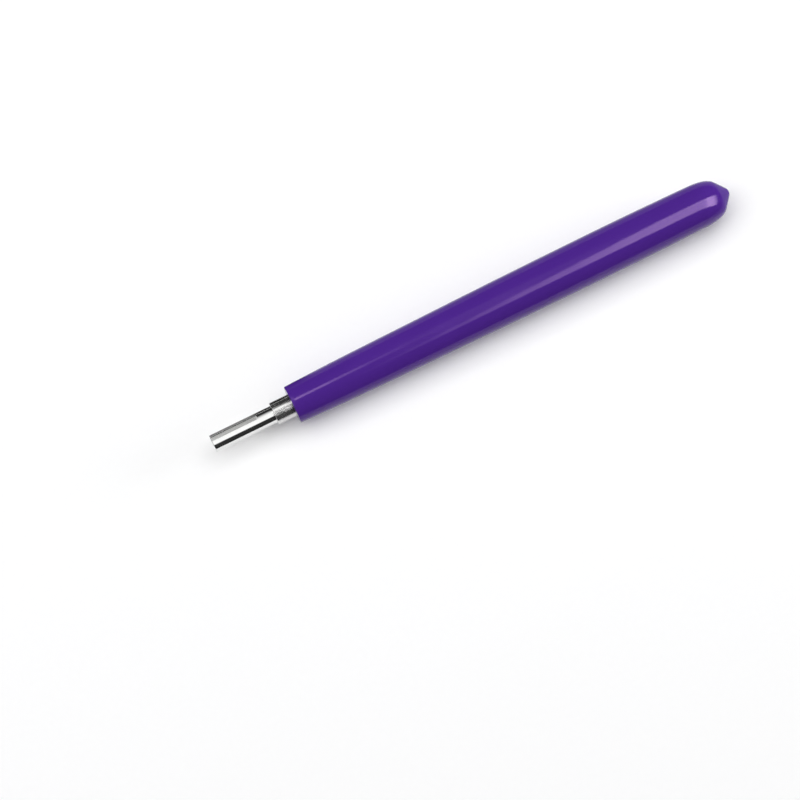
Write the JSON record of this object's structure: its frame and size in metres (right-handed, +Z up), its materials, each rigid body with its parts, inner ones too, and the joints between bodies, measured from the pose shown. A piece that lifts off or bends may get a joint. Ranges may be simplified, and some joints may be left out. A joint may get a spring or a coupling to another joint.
{
  "type": "quilling tool",
  "caption": "Slotted quilling tool: a polished steel pin with a wide paper slot at its tip, held in a steel tube that runs through a glossy dipped vinyl grip.",
  "frame": {"origin": "on the tool's axis at the tube's front face, where the slotted pin leaves the tube and the wound coil stops", "axes": "+X along the tool's axis from the working tip to the nub at the grip's rear end; +Z up, with the tool lying on its side as it does in the picture"},
  "size_m": [0.11, 0.009, 0.009],
  "materials": {
    "polished_steel": "mirror polished stainless steel",
    "satin_steel": "satin drawn stainless steel tube",
    "plug_plastic": "moulded polyethylene",
    "grip_vinyl": "glossy dipped purple vinyl"
  },
  "bodies": {
    "root": {"slotted_pin": "polished_steel", "core_tube": "satin_steel", "end_plug": "plug_plastic", "grip": "grip_vinyl"}
  },
  "joints": []
}
